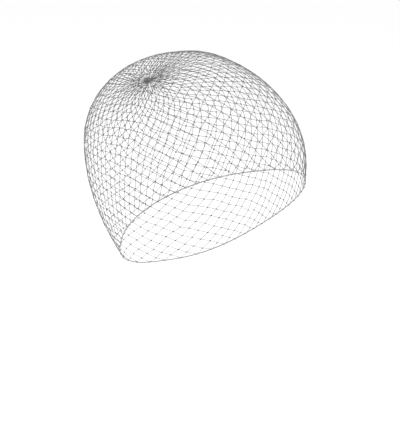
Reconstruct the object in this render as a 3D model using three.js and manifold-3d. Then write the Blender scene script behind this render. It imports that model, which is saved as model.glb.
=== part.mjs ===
// Mesh hairnet held open in its worn form: a pierced net cap with an elastic cord round its edge.
// Millimetres, +Z up, the face side towards -Y, mirror-symmetric in X.
// The origin is the middle of the opening that the head goes into.

import * as THREE from 'three';
import { mergeVertices } from 'three/addons/utils/BufferGeometryUtils.js';
import Module from 'manifold-3d';

const wasm = await Module();
wasm.setup();

// Driving dimensions of the cap's form, taken at the middle of the net
const halfWidth = 77.7;
const frontReach = 109.1;
const backReach = 100.1;
const crownRise = 78;
const lowerDepth = 110;

// Squareness of the plan at the front and the back, where 2 is an ellipse
const planSquareness = { front: 2.39, back: 2.6 };

// How fast each side of the crown swells from the top, where 1 is an ellipse
const crownSwell = { side: 1.03, front: 1.11, back: 1.02 };

// Share of its widest reach that each side keeps at lowerDepth below the widest level
const lowerShare = { side: 0.5, front: 0.96, back: 0.5 };

// Where the widest level of the form lies from the middle of the opening
const widestLevel = 48.6;
const formSetback = 28.4;

// The opening is cut on a slope, high at the forehead and low at the nape
const openingSlope = THREE.MathUtils.degToRad(37.5);

// Net wall
const netThickness = 1.2;

// Coarse diamond mesh: rows run round from the edge and close in on a gather at the back
const meshesAround = 15;
const halfRows = 9;
const gatheredRows = 1;
const frontCrowding = 0.6;
const openShare = 0.68;
const gatherAngle = THREE.MathUtils.degToRad(62);

// Elastic cord along the edge
const cordDiameter = 1;
const cordClearance = 0.3;

// Fineness of the faceted surfaces and of the searches along them
const wallColumns = 36;
const wallRows = 9;
const cordSegments = 96;
const cordSides = 6;
const loopSamples = 96;
const waySamples = 40;
const halvings = 40;
const chartStep = 0.01;
const cutterReach = 12;

// The form's angle runs a quarter turn from the crown to the widest level, and on below it
const quarterTurn = Math.PI / 2;
const lowerTurn = Math.PI / 4;
const lowestAngle = quarterTurn + 1.5 * lowerTurn;
const openingNormal = new THREE.Vector3(0, Math.sin(openingSlope), Math.cos(openingSlope));

// Reach of the form towards one side, at an angle down from the crown
function reachAt(widest, swell, kept, angle) {
  if (angle <= quarterTurn) {
    return widest * Math.sin(angle) ** swell;
  }
  const drop = (angle - quarterTurn) / lowerTurn;
  return widest * (1 - (1 - kept) * drop ** 2);
}

// Height of the form at an angle down from the crown
function levelAt(angle) {
  if (angle <= quarterTurn) {
    return widestLevel + crownRise * Math.cos(angle);
  }
  return widestLevel - lowerDepth * (angle - quarterTurn) / lowerTurn;
}

// Point of the form from its angle down from the crown and its bearing in plan
function formPoint(angle, bearing) {
  const across = Math.cos(bearing);
  const along = Math.sin(bearing);
  const side = reachAt(halfWidth, crownSwell.side, lowerShare.side, angle);
  const lengthwise = along < 0
    ? reachAt(frontReach, crownSwell.front, lowerShare.front, angle)
    : reachAt(backReach, crownSwell.back, lowerShare.back, angle);
  const squareness = along < 0 ? planSquareness.front : planSquareness.back;
  if (angle === 0) {
    return new THREE.Vector3(0, formSetback, levelAt(angle));
  }
  const sum = Math.abs(across / side) ** squareness + Math.abs(along / lengthwise) ** squareness;
  const radius = sum ** (-1 / squareness);
  return new THREE.Vector3(radius * across, formSetback + radius * along, levelAt(angle));
}

// The form is charted round the crown: distance from the chart's middle is the angle down from it
function chartPoint(chart) {
  return formPoint(chart.length(), Math.atan2(chart.y, chart.x));
}

// Outward direction of the form at a place on the chart
function chartNormal(chart) {
  const slope = (step) => chartPoint(chart.clone().add(step)).sub(chartPoint(chart.clone().sub(step)));
  const across = slope(new THREE.Vector2(chartStep, 0));
  const along = slope(new THREE.Vector2(0, chartStep));
  return across.cross(along).normalize();
}

// Chart place on a bearing where the form stands a given height above the opening's plane
function edgeChart(bearing, height) {
  let above = 0;
  let below = lowestAngle;
  for (let halving = 0; halving < halvings; halving += 1) {
    const middle = (above + below) / 2;
    if (formPoint(middle, bearing).dot(openingNormal) > height) {
      above = middle;
    } else {
      below = middle;
    }
  }
  return new THREE.Vector2(Math.cos(bearing), Math.sin(bearing)).multiplyScalar(above);
}

// The net ends a clearance above the cord
const netEdgeHeight = cordDiameter / 2 + cordClearance;

function toSolid(geometry) {
  geometry.deleteAttribute('normal');
  geometry.deleteAttribute('uv');
  const merged = mergeVertices(geometry);
  return new wasm.Manifold(new wasm.Mesh({
    numProp: 3,
    vertProperties: new Float32Array(merged.attributes.position.array),
    triVerts: new Uint32Array(merged.index.array),
  }));
}

function toGeometry(solid) {
  const mesh = solid.getMesh();
  const geometry = new THREE.BufferGeometry();
  geometry.setAttribute('position', new THREE.BufferAttribute(mesh.vertProperties, 3));
  geometry.setIndex(new THREE.BufferAttribute(mesh.triVerts, 1));
  geometry.computeVertexNormals();
  return geometry;
}

// Unpierced wall of the cap: an outer and an inner skin from the crown down to the net's edge
function capWall() {
  const positions = [];
  const addRing = (share, offset) => {
    for (let column = 0; column < wallColumns; column += 1) {
      const edge = edgeChart(2 * Math.PI * column / wallColumns, netEdgeHeight);
      const chart = edge.multiplyScalar(share);
      positions.push(...chartPoint(chart).addScaledVector(chartNormal(chart), offset));
    }
  };
  const addPole = (offset) => {
    const pole = new THREE.Vector2(0, 0);
    positions.push(...chartPoint(pole).addScaledVector(chartNormal(pole), offset));
  };
  // One closed sheet: down the outer skin from its pole, round the edge and up the inner skin
  addPole(netThickness / 2);
  for (let row = 1; row <= wallRows; row += 1) {
    addRing(row / wallRows, netThickness / 2);
  }
  for (let row = wallRows; row >= 1; row -= 1) {
    addRing(row / wallRows, -netThickness / 2);
  }
  addPole(-netThickness / 2);
  const rings = 2 * wallRows;
  const vertex = (ring, column) => 1 + ring * wallColumns + column % wallColumns;
  const innerPole = vertex(rings, 0);
  const indices = [];
  for (let column = 0; column < wallColumns; column += 1) {
    indices.push(0, vertex(0, column), vertex(0, column + 1));
    indices.push(innerPole, vertex(rings - 1, column + 1), vertex(rings - 1, column));
    for (let ring = 0; ring < rings - 1; ring += 1) {
      const near = [vertex(ring, column), vertex(ring, column + 1)];
      const far = [vertex(ring + 1, column), vertex(ring + 1, column + 1)];
      indices.push(near[0], far[0], far[1], near[0], far[1], near[1]);
    }
  }
  const geometry = new THREE.BufferGeometry();
  geometry.setAttribute('position', new THREE.Float32BufferAttribute(positions, 3));
  geometry.setIndex(indices);
  return toSolid(geometry);
}

// Point of the cap at a chart place, with the way to it from the place before it
function withLength(chart, before, crowding = 1) {
  const point = chartPoint(chart);
  const step = before ? crowding * point.distanceTo(before.point) : 0;
  return { chart, point, length: (before?.length ?? 0) + step };
}

// Chart place at a share of the whole way along a list of places
function placeAlong(places, share) {
  const wanted = share * places.at(-1).length;
  const next = Math.max(1, places.findIndex((place) => place.length >= wanted));
  const before = places[next - 1];
  const after = places[next];
  const part = (wanted - before.length) / (after.length - before.length);
  return before.chart.clone().lerp(after.chart, part);
}

// Way over the cap from its edge to the gather at the back
function wayToGather(bearing) {
  const gather = new THREE.Vector2(0, gatherAngle);
  const edge = edgeChart(bearing, netEdgeHeight);
  const places = [];
  for (let sample = 0; sample <= waySamples; sample += 1) {
    const chart = edge.clone().lerp(gather, sample / waySamples);
    places.push(withLength(chart, places.at(-1)));
  }
  return places;
}

// Rows of the net as loops from the edge inwards, measured longer where the meshes crowd
function rowLoops(rows) {
  const bearings = Array.from({ length: loopSamples + 1 }, (_, sample) => {
    return 2 * Math.PI * sample / loopSamples - quarterTurn;
  });
  const ways = bearings.map(wayToGather);
  return Array.from({ length: rows }, (_, row) => {
    const closing = row / halfRows;
    const loop = [];
    ways.forEach((way, sample) => {
      const crowding = 1 + frontCrowding * (1 - closing) * (1 - Math.sin(bearings[sample])) / 2;
      loop.push(withLength(placeAlong(way, closing), loop.at(-1), crowding));
    });
    return loop;
  });
}

// Straight-walled cutter through the net, which opens its share of the mesh with the given corners
function gapCutter(corners) {
  const points = corners.map(chartPoint);
  const middle = new THREE.Vector3();
  const middleChart = new THREE.Vector2();
  for (const corner of corners) {
    middle.addScaledVector(chartPoint(corner), 1 / corners.length);
    middleChart.addScaledVector(corner, 1 / corners.length);
  }
  const outward = chartNormal(middleChart);
  const across = points[0].clone().sub(middle).projectOnPlane(outward).normalize();
  const up = outward.clone().cross(across);
  const shape = new THREE.Shape(points.map((point) => {
    const arm = point.clone().sub(middle).multiplyScalar(openShare);
    return new THREE.Vector2(arm.dot(across), arm.dot(up));
  }));
  const depth = cutterReach * netThickness;
  const geometry = new THREE.ExtrudeGeometry(shape, { depth, bevelEnabled: false });
  geometry.translate(0, 0, -depth / 2);
  geometry.applyMatrix4(new THREE.Matrix4().makeBasis(across, up, outward).setPosition(middle));
  return toSolid(geometry);
}

// Cutters of the half meshes along the edge and of the rows of diamonds above them
function gapCutters() {
  const lastRow = halfRows - 1 - gatheredRows;
  const loops = rowLoops(lastRow + 2);
  const knot = (row, mesh) => placeAlong(loops[row], (mesh / meshesAround) % 1);
  const cutters = [];
  for (let mesh = 0; mesh < meshesAround; mesh += 1) {
    cutters.push(gapCutter([knot(0, mesh), knot(0, mesh + 1), knot(1, mesh + 0.5)]));
    for (let row = 1; row <= lastRow; row += 1) {
      const left = mesh + (row % 2) / 2;
      const middle = left + 0.5;
      const right = left + 1;
      const corners = [knot(row - 1, middle), knot(row, right), knot(row + 1, middle), knot(row, left)];
      cutters.push(gapCutter(corners));
    }
  }
  return cutters;
}

function netCap() {
  let cap = capWall();
  for (const cutter of gapCutters()) {
    cap = cap.subtract(cutter);
  }
  const material = new THREE.MeshStandardMaterial({ color: 0x6e6e72, roughness: 0.7, metalness: 0 });
  const mesh = new THREE.Mesh(toGeometry(cap), material);
  mesh.name = 'net_cap';
  return mesh;
}

// Centre line of the cord, a closed loop in the opening's plane
class EdgeCurve extends THREE.Curve {
  getPoint(share, target = new THREE.Vector3()) {
    return target.copy(chartPoint(edgeChart(2 * Math.PI * share, 0)));
  }
}

function edgeCord() {
  const tube = new THREE.TubeGeometry(new EdgeCurve(), cordSegments, cordDiameter / 2, cordSides, true);
  const material = new THREE.MeshStandardMaterial({ color: 0xb9b9bd, roughness: 0.55, metalness: 0 });
  const mesh = new THREE.Mesh(toGeometry(toSolid(tube)), material);
  mesh.name = 'edge_cord';
  return mesh;
}

const hairnet = new THREE.Group();
hairnet.add(netCap());
hairnet.add(edgeCord());

export default hairnet;
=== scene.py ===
"""Looks of the mesh hairnet: knotted diamond net, tied gather, edge loops and covered elastic cord."""

import math

import bpy
import numpy as np
from mathutils import Matrix, Vector


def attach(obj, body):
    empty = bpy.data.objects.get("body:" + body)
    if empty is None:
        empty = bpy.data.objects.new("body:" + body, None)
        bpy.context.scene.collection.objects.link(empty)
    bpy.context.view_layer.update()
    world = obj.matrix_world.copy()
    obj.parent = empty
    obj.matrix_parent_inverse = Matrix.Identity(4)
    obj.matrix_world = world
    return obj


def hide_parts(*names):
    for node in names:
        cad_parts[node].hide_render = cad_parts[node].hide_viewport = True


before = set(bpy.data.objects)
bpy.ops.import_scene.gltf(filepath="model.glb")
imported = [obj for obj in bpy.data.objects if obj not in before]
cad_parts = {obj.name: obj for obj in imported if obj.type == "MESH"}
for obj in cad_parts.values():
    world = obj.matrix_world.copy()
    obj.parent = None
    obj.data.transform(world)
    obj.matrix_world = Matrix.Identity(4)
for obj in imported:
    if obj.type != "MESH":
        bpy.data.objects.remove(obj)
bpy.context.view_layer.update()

MM = 0.001
TURN = 2 * math.pi

# Form of the worn net, the same as the solids': half sizes in plan, rise and depth, in metres
HALF_WIDTH = 77.7 * MM
FRONT_REACH = 109.1 * MM
BACK_REACH = 100.1 * MM
CROWN_RISE = 78 * MM
LOWER_DEPTH = 110 * MM
FRONT_SQUARENESS, BACK_SQUARENESS = 2.39, 2.6
SIDE_SWELL, FRONT_SWELL, BACK_SWELL = 1.03, 1.11, 1.02
SIDE_KEPT, FRONT_KEPT, BACK_KEPT = 0.5, 0.96, 0.5
WIDEST_LEVEL = 48.6 * MM
FORM_SETBACK = 28.4 * MM
OPENING_SLOPE = math.radians(37.5)
OPENING_NORMAL = np.array([0, math.sin(OPENING_SLOPE), math.cos(OPENING_SLOPE)])
QUARTER_TURN = math.pi / 2
LOWER_TURN = math.pi / 4
LOWEST_ANGLE = QUARTER_TURN + 1.5 * LOWER_TURN

# Steps and limits of the sums on the form
SMALLEST_ANGLE = 1e-9
SMALLEST_LENGTH = 1e-12
NORMAL_STEP = 0.01
EDGE_HALVINGS = 40
NET_BEARINGS = 120
CORD_BEARINGS = 720
WAY_STEPS = 80
NEARLY_UPRIGHT = 0.9

# Diamond mesh of the net
MESHES_AROUND = 52
HALF_ROWS = 40
GATHER_CHART = np.array([0, math.radians(62)])
FRONT_CROWDING = 0.6
EDGE_MESH_RISE = 3.75 * MM
THREAD_LENGTH = 7.6 * MM
THREAD_DIAMETER = 0.38 * MM
GATHERED_HALF_ROWS = 2
LEFT_NEIGHBOUR, RIGHT_NEIGHBOUR = -1, 0

# Slack of the threads: spare share of the length, bow of a shallow arc, its limit and its lean outwards
THREAD_SLACK = 0.04
ARC_BOW = 3 / 8
LARGEST_BOW = 0.5 * MM
OUTWARD_LEAN = 0.3

# Knots: size and its range, width and depth of the loop as shares of the size, and looseness
KNOT_SIZE = 1.1 * MM
KNOT_SMALLEST, KNOT_LARGEST = 0.9, 1.15
KNOT_WIDTH = 0.17
KNOT_DEPTH = 0.2
KNOT_DRIFT = 0.35 * MM
KNOT_LOOK_AHEAD = 0.02

# Uneven pull of the rows, in slow waves over the chart
UNEVEN_PULL = 0.7 * MM
PULL_PHASES = (0.4, 2.1)
PULL_ACROSS = (3.1, 1.7)
PULL_ALONG = (-2.2, 4.3)
PULL_LOOK_AHEAD = 0.99

# Half meshes that turn under the edge cord, with the turn in degrees
LOOP_START, LOOP_END = 20, -200
LOOP_STEPS = 9
LOOP_SHIFT = 0.4 * MM

# Bundle of the gathered threads and its tie, with shares of the radius and of each path
BUNDLE_RADIUS = 1.6 * MM
BUNDLE_INNERMOST, BUNDLE_OUTERMOST = 0.05, 0.95
BUNDLE_DRAWN_IN = 0.6
BUNDLE_TURNS_OUT = 0.4
BUNDLE_SHORTEST, BUNDLE_LONGEST = 2.4 * MM, 3.8 * MM
BUNDLE_SPREAD = 1.2
TIE_DIAMETER = 0.45 * MM
TIE_TURNS = 3
TIE_LOWEST, TIE_HIGHEST = 0.6 * MM, 1.7 * MM

# Covered elastic cord along the edge, with its yarn wrapped round as a fine spiral
CORD_DIAMETER = 1 * MM
WRAP_STEPS = 4
WRAP_DEPTH = 0.05

# Greys of the threads, knots and cord, from dark to light; the knots are tied from the same thread but
# painted lighter as painted highlight
THREAD_GREYS = (0.11, 0.11, 0.117), (0.17, 0.17, 0.18)
KNOT_PAINTED_HIGHLIGHT_GREYS = (0.145, 0.145, 0.153), (0.22, 0.22, 0.232)
CORD_GREYS = (0.28, 0.28, 0.291), (0.38, 0.38, 0.395)
DRIFT_DARKEST, DRIFT_LIGHTEST = 0.35, 0.65
DRIFT_DETAIL = 3
THREAD_DRIFT_SCALE = 90
CORD_DRIFT_SCALE = 60

# Twist of the threads and yarn of the cord, with the brightness that their grooves keep under painted shade
TWIST_SCALE = 900
TWIST_UNEVENNESS = 1.5
TWIST_HEIGHT = 0.04 * MM
YARN_SCALE = 3000
YARN_HEIGHT = 0.05 * MM
GRAIN_STRENGTH = 0.6
PAINTED_GROOVE_SHADE = 0.65

# Steps along each tube and sides round it
THREAD_STEPS, THREAD_SIDES = 7, 6
KNOT_STEPS, KNOT_SIDES = 14, 5
CORD_STEPS, CORD_SIDES = 2200, 12
BUNDLE_STEPS = 10
TIE_STEPS = 72

# Camera, found from the outline and the edge cord in the photograph, in metres, millimetres and pixels
CAMERA_AZIMUTH = math.radians(-25.4)
CAMERA_ELEVATION = math.radians(16.5)
CAMERA_ROLL = math.radians(1.24)
CAMERA_DISTANCE = 1.5
PIXELS_PER_METRE = 1248.0
SENSOR_HEIGHT = 36
IMAGE_SIZE = (400, 426)
FIT_POINT = Vector((0, FORM_SETBACK, 29.2 * MM))
FIT_PIXEL = (192.2, 173.6)

# Floor well below the net, in metres
FLOOR_HALF = 6.0
FLOOR_LEVEL = -0.35
FLOOR_GREY = 0.97

SEED = 27
random = np.random.default_rng(SEED)


def reach(widest, swell, kept, angle):
    """Reach of the form towards one side at an angle down from the crown."""
    upper = widest * np.sin(np.minimum(angle, QUARTER_TURN)) ** swell
    drop = np.maximum(angle - QUARTER_TURN, 0) / LOWER_TURN
    return np.where(angle <= QUARTER_TURN, upper, widest * (1 - (1 - kept) * drop ** 2))


def form_points(chart):
    """Points of the form from chart places, whose length is the angle down from the crown."""
    angle = np.maximum(np.hypot(chart[..., 0], chart[..., 1]), SMALLEST_ANGLE)
    across = chart[..., 0] / angle
    along = chart[..., 1] / angle
    side = reach(HALF_WIDTH, SIDE_SWELL, SIDE_KEPT, angle)
    front = reach(FRONT_REACH, FRONT_SWELL, FRONT_KEPT, angle)
    back = reach(BACK_REACH, BACK_SWELL, BACK_KEPT, angle)
    lengthwise = np.where(along < 0, front, back)
    squareness = np.where(along < 0, FRONT_SQUARENESS, BACK_SQUARENESS)
    total = np.abs(across / side) ** squareness + np.abs(along / lengthwise) ** squareness
    radius = total ** (-1 / squareness)
    drop = np.maximum(angle - QUARTER_TURN, 0) / LOWER_TURN
    rise = CROWN_RISE * np.cos(np.minimum(angle, QUARTER_TURN))
    level = WIDEST_LEVEL + rise - LOWER_DEPTH * drop
    return np.stack([radius * across, FORM_SETBACK + radius * along, level], axis=-1)


def unit(vectors):
    """Vectors of length one in the same directions."""
    return vectors / np.maximum(np.linalg.norm(vectors, axis=-1, keepdims=True), SMALLEST_LENGTH)


def form_normals(chart):
    """Outward directions of the form at chart places."""
    across = form_points(chart + [NORMAL_STEP, 0]) - form_points(chart - [NORMAL_STEP, 0])
    along = form_points(chart + [0, NORMAL_STEP]) - form_points(chart - [0, NORMAL_STEP])
    return unit(np.cross(across, along))


def edge_charts(bearings):
    """Chart places where the form crosses the plane of the opening."""
    ways = np.stack([np.cos(bearings), np.sin(bearings)], axis=-1)
    above = np.zeros(len(bearings))
    below = np.full(len(bearings), LOWEST_ANGLE)
    for _ in range(EDGE_HALVINGS):
        middle = (above + below) / 2
        inside = form_points(ways * middle[:, None]) @ OPENING_NORMAL > 0
        above = np.where(inside, middle, above)
        below = np.where(inside, below, middle)
    return ways * above[:, None]


def lengths_along(points, weights=1.0):
    """Weighted length from the first point to each point of a line."""
    steps = np.linalg.norm(np.diff(points, axis=0), axis=1) * weights
    return np.concatenate([[0], np.cumsum(steps)])


def places_at(wanted, lengths, places):
    """Places at the wanted lengths along a line."""
    columns = [np.interp(wanted, lengths, column) for column in places.T]
    return np.stack(columns, axis=-1)


def net_charts():
    """Chart places of the knots, one row for each half mesh from the cord to the gather."""
    bearings = np.linspace(0, TURN, NET_BEARINGS + 1) - QUARTER_TURN
    edge = edge_charts(bearings)
    shares = np.linspace(0, 1, WAY_STEPS)
    rows = [[] for _ in range(HALF_ROWS + 1)]
    for start in edge:
        way = start + (GATHER_CHART - start) * shares[:, None]
        lengths = lengths_along(form_points(way))
        regular = np.linspace(EDGE_MESH_RISE, lengths[-1], HALF_ROWS)
        wanted = np.concatenate([[0], regular])
        for row, place in enumerate(places_at(wanted, lengths, way)):
            rows[row].append(place)
    knots = []
    for row in range(HALF_ROWS + 1 - GATHERED_HALF_ROWS):
        loop = np.array(rows[row])
        share = row / HALF_ROWS
        middle = (bearings[1:] + bearings[:-1]) / 2
        crowding = 1 + FRONT_CROWDING * (1 - share) * (1 - np.sin(middle)) / 2
        lengths = lengths_along(form_points(loop), crowding)
        wanted = (np.arange(MESHES_AROUND) + (row % 2) / 2) / MESHES_AROUND * lengths[-1]
        knots.append(places_at(wanted, lengths, loop))
    return np.array(knots)


def carried_square(direction, tangent):
    """Direction turned as little as needed to lie square to the tangent."""
    return unit(direction - tangent * np.sum(direction * tangent, axis=-1, keepdims=True))


def frames_along(paths, closed):
    """Two unit vectors square to each path, smoothly carried along it and met again where it closes."""
    if closed:
        tangents = unit(np.roll(paths, -1, axis=1) - np.roll(paths, 1, axis=1))
    else:
        tangents = unit(np.gradient(paths, axis=1))
    normals = np.empty_like(tangents)
    slanting = np.abs(tangents[:, 0, 2:3]) < NEARLY_UPRIGHT
    helper = np.where(slanting, [[0.0, 0.0, 1.0]], [[1.0, 0.0, 0.0]])
    normals[:, 0] = unit(np.cross(tangents[:, 0], helper))
    steps = paths.shape[1]
    for step in range(1, steps):
        normals[:, step] = carried_square(normals[:, step - 1], tangents[:, step])
    binormals = np.cross(tangents, normals)
    if closed:
        last = carried_square(normals[:, -1], tangents[:, 0])
        sine = np.sum(last * binormals[:, 0], axis=1)
        cosine = np.sum(last * normals[:, 0], axis=1)
        twist = -np.arctan2(sine, cosine)[:, None, None] * (np.arange(steps) / steps)[:, None]
        turned = np.cos(twist) * normals + np.sin(twist) * binormals
        binormals = np.cross(tangents, turned)
        normals = turned
    return normals, binormals


def tubes(paths, radii, sides, closed=False):
    """Vertices and faces of tubes along paths of shape (tube, step, 3)."""
    count, steps, _ = paths.shape
    normals, binormals = frames_along(paths, closed)
    angles = np.arange(sides) / sides * TURN
    radii = np.broadcast_to(radii, (count, steps, sides))[..., None]
    ring = np.cos(angles)[:, None] * normals[:, :, None] + np.sin(angles)[:, None] * binormals[:, :, None]
    vertices = (paths[:, :, None] + radii * ring).reshape(-1, 3)
    index = np.arange(count * steps * sides).reshape(count, steps, sides)
    near = index if closed else index[:, :-1]
    far = np.roll(index, -1, axis=1) if closed else index[:, 1:]
    turned_near = np.roll(near, -1, axis=2)
    turned_far = np.roll(far, -1, axis=2)
    quads = np.stack([near, turned_near, turned_far, far], axis=-1).reshape(-1, 4)
    faces = quads.tolist()
    if not closed:
        faces += index[:, 0, ::-1].tolist()
        faces += index[:, -1].tolist()
    return vertices, faces


def piece(name, parts, material, slot, *nodes):
    """One named mesh of joined parts, riding the body and standing for CAD nodes."""
    vertices = []
    faces = []
    offset = 0
    for part_vertices, part_faces in parts:
        vertices.append(part_vertices)
        faces += [[corner + offset for corner in face] for face in part_faces]
        offset += len(part_vertices)
    mesh = bpy.data.meshes.new(name)
    mesh.from_pydata(np.concatenate(vertices).tolist(), [], faces)
    mesh.polygons.foreach_set("use_smooth", [True] * len(mesh.polygons))
    mesh.materials.append(material)
    mesh.update()
    obj = bpy.data.objects.new(name, mesh)
    bpy.context.scene.collection.objects.link(obj)
    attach(obj, "root")
    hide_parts(*nodes)


def node_material(name):
    """A new material with its node tree and its shader."""
    material = bpy.data.materials.new(name)
    material.use_nodes = True
    tree = material.node_tree
    return material, tree, tree.nodes["Principled BSDF"]


def link(tree, source, output, target, name):
    """Joins one node's output to an input of another."""
    tree.links.new(source.outputs[output], target.inputs[name])


def surface(tree, shader, grain, grain_height, greys, drift_scale):
    """Colour that drifts between two greys, with painted shade darkening it in the grain's grooves, and the
    grain's relief.
    """
    place = tree.nodes.new("ShaderNodeTexCoord")
    noise = tree.nodes.new("ShaderNodeTexNoise")
    noise.inputs["Scale"].default_value = drift_scale
    noise.inputs["Detail"].default_value = DRIFT_DETAIL
    ramp = tree.nodes.new("ShaderNodeValToRGB")
    for end, position, grey in zip(ramp.color_ramp.elements, (DRIFT_DARKEST, DRIFT_LIGHTEST), greys):
        end.position = position
        end.color = (*grey, 1)
    # Painted shade: the base colour is darkened in the grain's grooves, down to this share at their bottoms
    painted_shade = tree.nodes.new("ShaderNodeMapRange")
    painted_shade.inputs["To Min"].default_value = PAINTED_GROOVE_SHADE
    colour_with_painted_shade = tree.nodes.new("ShaderNodeVectorMath")
    colour_with_painted_shade.operation = "MULTIPLY"
    bump = tree.nodes.new("ShaderNodeBump")
    bump.inputs["Strength"].default_value = GRAIN_STRENGTH
    bump.inputs["Distance"].default_value = grain_height
    link(tree, place, "Object", noise, "Vector")
    link(tree, place, "Object", grain, "Vector")
    link(tree, noise, "Fac", ramp, "Fac")
    link(tree, grain, "Fac", painted_shade, "Value")
    link(tree, ramp, "Color", colour_with_painted_shade, 0)
    link(tree, painted_shade, "Result", colour_with_painted_shade, 1)
    link(tree, colour_with_painted_shade, "Vector", shader, "Base Color")
    link(tree, grain, "Fac", bump, "Height")
    link(tree, bump, "Normal", shader, "Normal")


def thread_material(name, greys):
    """Twisted multifilament nylon: fine ridges with painted shade in their grooves, soft sheen and slight
    colour drift.
    """
    material, tree, shader = node_material(name)
    wave = tree.nodes.new("ShaderNodeTexWave")
    wave.bands_direction = "DIAGONAL"
    wave.inputs["Scale"].default_value = TWIST_SCALE
    wave.inputs["Distortion"].default_value = TWIST_UNEVENNESS
    surface(tree, shader, wave, TWIST_HEIGHT, greys, THREAD_DRIFT_SCALE)
    shader.inputs["Roughness"].default_value = 0.5
    shader.inputs["Sheen Weight"].default_value = 0.35
    shader.inputs["Sheen Roughness"].default_value = 0.4
    shader.inputs["Specular IOR Level"].default_value = 0.4
    return material


def cord_material():
    """Elastic core wrapped closely in light yarn, with painted shade in the yarn's grooves."""
    material, tree, shader = node_material("covered_elastic")
    noise = tree.nodes.new("ShaderNodeTexNoise")
    noise.inputs["Scale"].default_value = YARN_SCALE
    surface(tree, shader, noise, YARN_HEIGHT, CORD_GREYS, CORD_DRIFT_SCALE)
    shader.inputs["Roughness"].default_value = 0.45
    shader.inputs["Sheen Weight"].default_value = 0.3
    shader.inputs["Specular IOR Level"].default_value = 0.45
    return material


def slack_paths(starts, ends, outward, steps):
    """Paths between knots that bow by the thread's slack, sideways and outwards at random."""
    chord = ends - starts
    distance = np.linalg.norm(chord, axis=1)
    sideways = unit(np.cross(chord, outward))
    spare = np.maximum(THREAD_LENGTH - distance, 0) * THREAD_SLACK
    bow = np.minimum(np.sqrt(spare * distance * ARC_BOW), LARGEST_BOW)
    lean = random.uniform(-1, 1, len(starts))
    push = unit(sideways * lean[:, None] + outward * OUTWARD_LEAN)
    shares = np.linspace(0, 1, steps)
    arch = np.sin(np.pi * shares)
    straight = starts[:, None] + chord[:, None] * shares[:, None]
    return straight + push[:, None] * (bow[:, None] * arch)[..., None]


def net_threads(name, knots, outward, neighbour, thread):
    """One thread up from each knot to its neighbour on one side in the next row."""
    rows = range(1, len(knots) - 1)
    starts = np.concatenate([knots[row] for row in rows])
    ends = np.concatenate([np.roll(knots[row + 1], -neighbour - row % 2, axis=0) for row in rows])
    out = np.concatenate([outward[row] for row in rows])
    paths = slack_paths(starts, ends, out, THREAD_STEPS)
    parts = [tubes(paths, THREAD_DIAMETER / 2, THREAD_SIDES)]
    piece(name, parts, thread, "net_thread", "net_cap")


def net_knots(name, rows, knots, charts, outward, material):
    """A small round-turned knot where the threads cross."""
    centres = np.concatenate([knots[row] for row in rows])
    out = np.concatenate([outward[row] for row in rows])
    up = []
    for row in rows:
        ahead = charts[row] + (GATHER_CHART - charts[row]) * KNOT_LOOK_AHEAD
        up.append(unit(form_points(ahead) - knots[row]))
    up = unit(np.concatenate(up))
    side = unit(np.cross(up, out))
    out = np.cross(side, up)
    size = KNOT_SIZE * random.uniform(KNOT_SMALLEST, KNOT_LARGEST, len(centres))
    turn = np.arange(KNOT_STEPS) / KNOT_STEPS * TURN
    loop = np.stack([
        KNOT_WIDTH * (np.sin(turn) + 2 * np.sin(2 * turn)),
        KNOT_WIDTH * (np.cos(turn) - 2 * np.cos(2 * turn)),
        -KNOT_DEPTH * np.sin(3 * turn),
    ], axis=-1)
    axes = np.stack([side, up, out], axis=1)
    paths = centres[:, None] + np.einsum("sk,nkx->nsx", loop, axes) * size[:, None, None]
    parts = [tubes(paths, THREAD_DIAMETER / 2, KNOT_SIDES, closed=True)]
    piece(name, parts, material, "net_thread", "net_cap")


def edge_loops(knots, outward, thread):
    """Half meshes along the edge: each thread comes down, turns under the cord and goes up again."""
    feet = knots[0]
    left = np.roll(knots[1], 1, axis=0)
    right = knots[1]
    along = unit(np.roll(feet, -1, axis=0) - np.roll(feet, 1, axis=0))
    out = outward[0]
    up = np.cross(out, along)
    up = up * np.sign(np.sum(up * (right - feet), axis=1, keepdims=True))
    around = np.radians(np.linspace(LOOP_START, LOOP_END, LOOP_STEPS))
    shift = np.linspace(-LOOP_SHIFT, LOOP_SHIFT, LOOP_STEPS)
    radius = (CORD_DIAMETER + THREAD_DIAMETER) / 2
    ring = np.cos(around)[:, None] * out[:, None] + np.sin(around)[:, None] * up[:, None]
    turn = feet[:, None] + radius * ring + shift[:, None] * along[:, None]
    paths = np.concatenate([left[:, None], turn, right[:, None]], axis=1)
    parts = [tubes(paths, THREAD_DIAMETER / 2, THREAD_SIDES)]
    piece("edge_loops", parts, thread, "net_thread", "net_cap")


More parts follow.
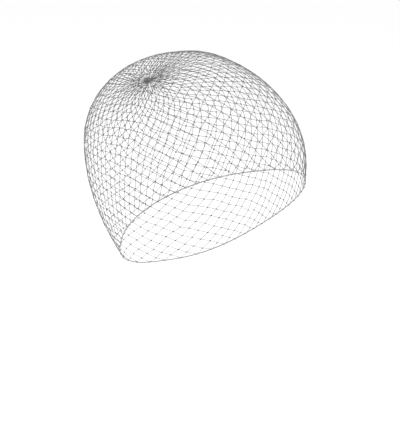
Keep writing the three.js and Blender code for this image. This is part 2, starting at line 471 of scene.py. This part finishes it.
def gather(knots, thread):
    """The last rows drawn together into a small bundle, with a thread tied round it."""
    centre = form_points(GATHER_CHART[None])[0]
    out = form_normals(GATHER_CHART[None])[0]
    last = knots[-1] - centre
    distance = np.linalg.norm(last, axis=1)[:, None]
    kept = random.uniform(BUNDLE_INNERMOST, BUNDLE_OUTERMOST, (len(last), 1)) * BUNDLE_RADIUS
    length = random.uniform(BUNDLE_SHORTEST, BUNDLE_LONGEST, (len(last), 1))
    shares = np.linspace(0, 1, BUNDLE_STEPS)
    inward = np.maximum(1 - shares / BUNDLE_DRAWN_IN, 0) ** 2
    outward_share = np.maximum(shares - BUNDLE_TURNS_OUT, 0) / (1 - BUNDLE_TURNS_OUT)
    spread = 1 + (BUNDLE_SPREAD - 1) * outward_share ** 2
    reached = (kept * spread + (distance - kept) * inward) / distance
    paths = centre + last[:, None] * reached[..., None] + out * (length * outward_share)[..., None]
    parts = [tubes(paths, THREAD_DIAMETER / 2, THREAD_SIDES)]
    turn = np.linspace(0, TIE_TURNS * TURN, TIE_STEPS)[:, None]
    level = np.linspace(TIE_LOWEST, TIE_HIGHEST, TIE_STEPS)[:, None]
    side = unit(np.cross(out, [1.0, 0, 0]))
    round_turn = np.cos(turn) * side + np.sin(turn) * np.cross(out, side)
    tie = centre + out * level + (BUNDLE_RADIUS + TIE_DIAMETER / 2) * round_turn
    parts.append(tubes(tie[None], TIE_DIAMETER / 2, THREAD_SIDES))
    piece("gather_tie", parts, thread, "net_thread", "net_cap")


def edge_cord(material):
    """Closed loop of covered elastic with its yarn wrapped round as a fine spiral."""
    bearings = np.linspace(0, TURN, CORD_BEARINGS + 1)
    route = form_points(edge_charts(bearings))
    lengths = lengths_along(route)
    wanted = np.arange(CORD_STEPS) / CORD_STEPS * lengths[-1]
    path = places_at(wanted, lengths, route)
    along = np.arange(CORD_STEPS)[:, None] / WRAP_STEPS
    around = np.arange(CORD_SIDES) / CORD_SIDES
    radii = CORD_DIAMETER / 2 * (1 + WRAP_DEPTH * np.cos(TURN * (along - around)))
    parts = [tubes(path[None], radii, CORD_SIDES, closed=True)]
    piece("elastic_cord", parts, material, "edge_elastic", "edge_cord")


def settled(knots, charts, outward):
    """Knots moved a little along the surface by an uneven pull and loose knotting; the edge's feet stay."""
    up = unit(form_points(charts * PULL_LOOK_AHEAD) - knots)
    side = unit(np.cross(up, outward))
    waves = []
    for phase in PULL_PHASES:
        across = np.sin(PULL_ACROSS[0] * charts[..., 0] + PULL_ACROSS[1] * charts[..., 1] + phase)
        along = np.sin(PULL_ALONG[0] * charts[..., 0] + PULL_ALONG[1] * charts[..., 1] + 2 * phase)
        waves.append(UNEVEN_PULL * across * along)
    drift = random.normal(0, KNOT_DRIFT, (2, *knots.shape[:2]))
    moved = knots + side * (waves[0] + drift[0])[..., None] + up * (waves[1] + drift[1])[..., None]
    moved[0] = knots[0]
    return moved


def camera():
    """The photograph's view: the fitted point lands on its pixel with no lens shift."""
    back = Vector((
        math.sin(CAMERA_AZIMUTH) * math.cos(CAMERA_ELEVATION),
        -math.cos(CAMERA_AZIMUTH) * math.cos(CAMERA_ELEVATION),
        math.sin(CAMERA_ELEVATION),
    ))
    place = FIT_POINT + back * CAMERA_DISTANCE
    turn = back.to_track_quat("Z", "Y").to_matrix() @ Matrix.Rotation(CAMERA_ROLL, 3, "Z")
    right, up = turn.col[0], turn.col[1]
    right_shift = (IMAGE_SIZE[0] / 2 - FIT_PIXEL[0]) / PIXELS_PER_METRE
    down_shift = (IMAGE_SIZE[1] / 2 - FIT_PIXEL[1]) / PIXELS_PER_METRE
    aim = FIT_POINT + right * right_shift - up * down_shift
    data = bpy.data.cameras.new("camera")
    data.sensor_fit = "VERTICAL"
    data.sensor_height = SENSOR_HEIGHT
    data.lens = SENSOR_HEIGHT * PIXELS_PER_METRE * CAMERA_DISTANCE / IMAGE_SIZE[1]
    obj = bpy.data.objects.new("camera", data)
    turn = (place - aim).to_track_quat("Z", "Y").to_matrix() @ Matrix.Rotation(CAMERA_ROLL, 3, "Z")
    obj.matrix_world = Matrix.Translation(place) @ turn.to_4x4()
    bpy.context.scene.collection.objects.link(obj)
    bpy.context.scene.camera = obj


def light(name, place, size, power):
    """Round soft light that looks at the origin."""
    data = bpy.data.lights.new(name, "AREA")
    data.shape = "DISK"
    data.size = size
    data.energy = power
    obj = bpy.data.objects.new(name, data)
    place = Vector(place)
    obj.matrix_world = Matrix.Translation(place) @ place.to_track_quat("Z", "Y").to_matrix().to_4x4()
    bpy.context.scene.collection.objects.link(obj)


def studio():
    """Pale floor well below the net, white surroundings and three soft lights."""
    mesh = bpy.data.meshes.new("floor")
    ways = [(-1, -1), (1, -1), (1, 1), (-1, 1)]
    corners = [(across * FLOOR_HALF, along * FLOOR_HALF, FLOOR_LEVEL) for across, along in ways]
    mesh.from_pydata(corners, [], [(0, 1, 2, 3)])
    material, _, shader = node_material("pale_floor")
    shader.inputs["Base Color"].default_value = (FLOOR_GREY, FLOOR_GREY, FLOOR_GREY, 1)
    shader.inputs["Roughness"].default_value = 0.9
    mesh.materials.append(material)
    floor = bpy.data.objects.new("floor", mesh)
    bpy.context.scene.collection.objects.link(floor)
    world = bpy.data.worlds.new("studio")
    world.use_nodes = True
    background = world.node_tree.nodes["Background"]
    background.inputs["Color"].default_value = (1, 1, 1, 1)
    background.inputs["Strength"].default_value = 1.0
    bpy.context.scene.world = world
    bpy.context.scene.view_settings.view_transform = "Standard"
    light("key", place=(-0.5, -1.0, 1.2), size=0.6, power=8)
    light("fill", place=(0.9, -0.6, 0.6), size=0.8, power=3)
    light("rim", place=(0.2, 1.0, 0.9), size=0.6, power=4)


camera()
charts = net_charts()
outward = form_normals(charts)
knots = settled(form_points(charts), charts, outward)
thread = thread_material("net_thread", THREAD_GREYS)
# Knots use a lighter copy of the thread's material: painted highlight on the knots
knot_thread_painted_highlight = thread_material("knot_thread_painted_highlight", KNOT_PAINTED_HIGHLIGHT_GREYS)
net_threads("net_threads_left", knots, outward, LEFT_NEIGHBOUR, thread)
net_threads("net_threads_right", knots, outward, RIGHT_NEIGHBOUR, thread)
middle_row = len(knots) // 2
net_knots("net_knots_lower", range(1, middle_row), knots, charts, outward, knot_thread_painted_highlight)
net_knots("net_knots_upper", range(middle_row, len(knots)), knots, charts, outward, knot_thread_painted_highlight)
edge_loops(knots, outward, thread)
gather(knots, thread)
edge_cord(cord_material())
studio()
